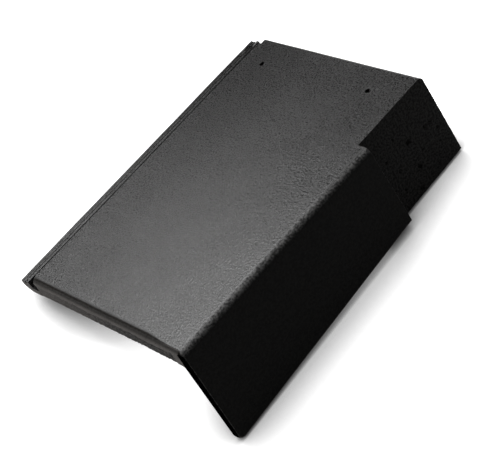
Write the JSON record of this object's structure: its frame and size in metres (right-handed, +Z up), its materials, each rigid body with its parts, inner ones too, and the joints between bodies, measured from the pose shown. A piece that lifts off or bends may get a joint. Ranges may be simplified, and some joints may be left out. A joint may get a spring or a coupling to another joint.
{
  "type": "verge tile",
  "caption": "Flat interlocking concrete roof tile for a right-hand verge, with a side lock on one edge and a deep flange on the other.",
  "frame": {"origin": "centre of the footprint, on the floor that the tile lies on", "axes": "+Y runs from the tail up to the head, +X towards the verge, +Z up. The tile lies unheld on its flange and the head end of its side lock, so its face leans down towards the lock."},
  "size_m": [0.3582, 0.431, 0.1352],
  "materials": {
    "concrete": "grey through-coloured concrete with a thin sealing coat, fine grained, rough and pitted at the rebate and the tail"
  },
  "bodies": {
    "root": {"verge_tile": "concrete"}
  },
  "joints": []
}
